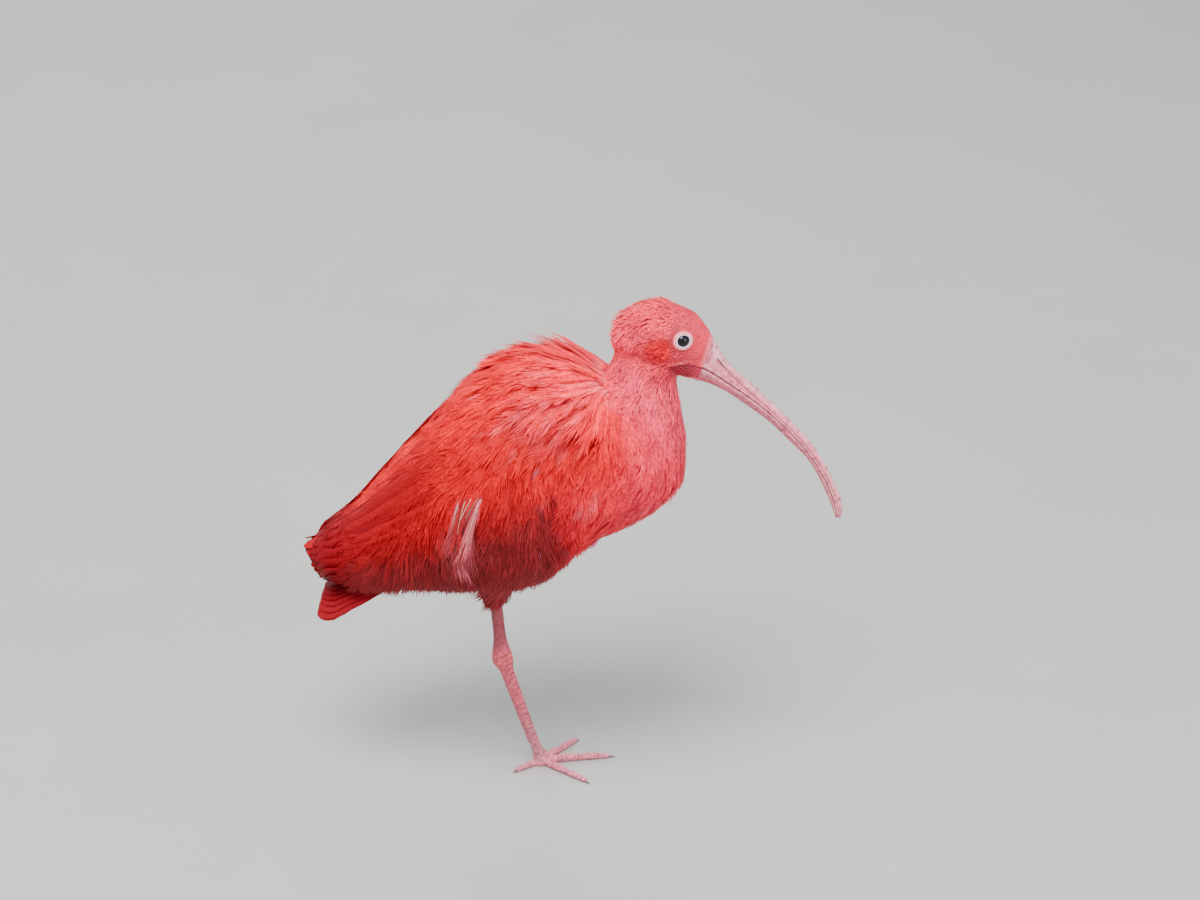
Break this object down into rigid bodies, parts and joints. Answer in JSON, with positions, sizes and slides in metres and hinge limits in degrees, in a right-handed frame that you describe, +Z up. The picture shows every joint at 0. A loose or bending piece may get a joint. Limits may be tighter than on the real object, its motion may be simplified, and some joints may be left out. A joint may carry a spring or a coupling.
{
  "type": "scarlet ibis",
  "caption": "Life-size still model of a scarlet ibis resting on one leg, with its neck drawn in and its long bill curved down.",
  "frame": {"origin": "bottom centre of the bounding box, level with the sole of the standing foot", "axes": "+X the way the bird faces, +Y its left side, +Z up"},
  "size_m": [0.3782, 0.1304, 0.3673],
  "materials": {
    "face_feather": "matte",
    "body_feather": "matte",
    "wing_feather": "satin",
    "tail_feather": "satin",
    "bill": "satin",
    "leg_skin": "satin",
    "bare_skin": "satin",
    "eye": "gloss"
  },
  "bodies": {
    "root": {"head": "face_feather", "bill_upper": "bill", "bill_lower": "bill", "eye_right": "eye", "eye_left": "eye", "neck": "face_feather", "torso": "body_feather", "wing_right": "wing_feather", "wing_left": "wing_feather", "tail": "tail_feather", "leg_right_thigh": "body_feather", "leg_right_shank": "leg_skin", "leg_right_tarsus": "leg_skin", "foot_right": "leg_skin", "leg_left_thigh": "body_feather", "leg_left_tarsus": "leg_skin", "foot_left": "leg_skin"}
  },
  "joints": []
}
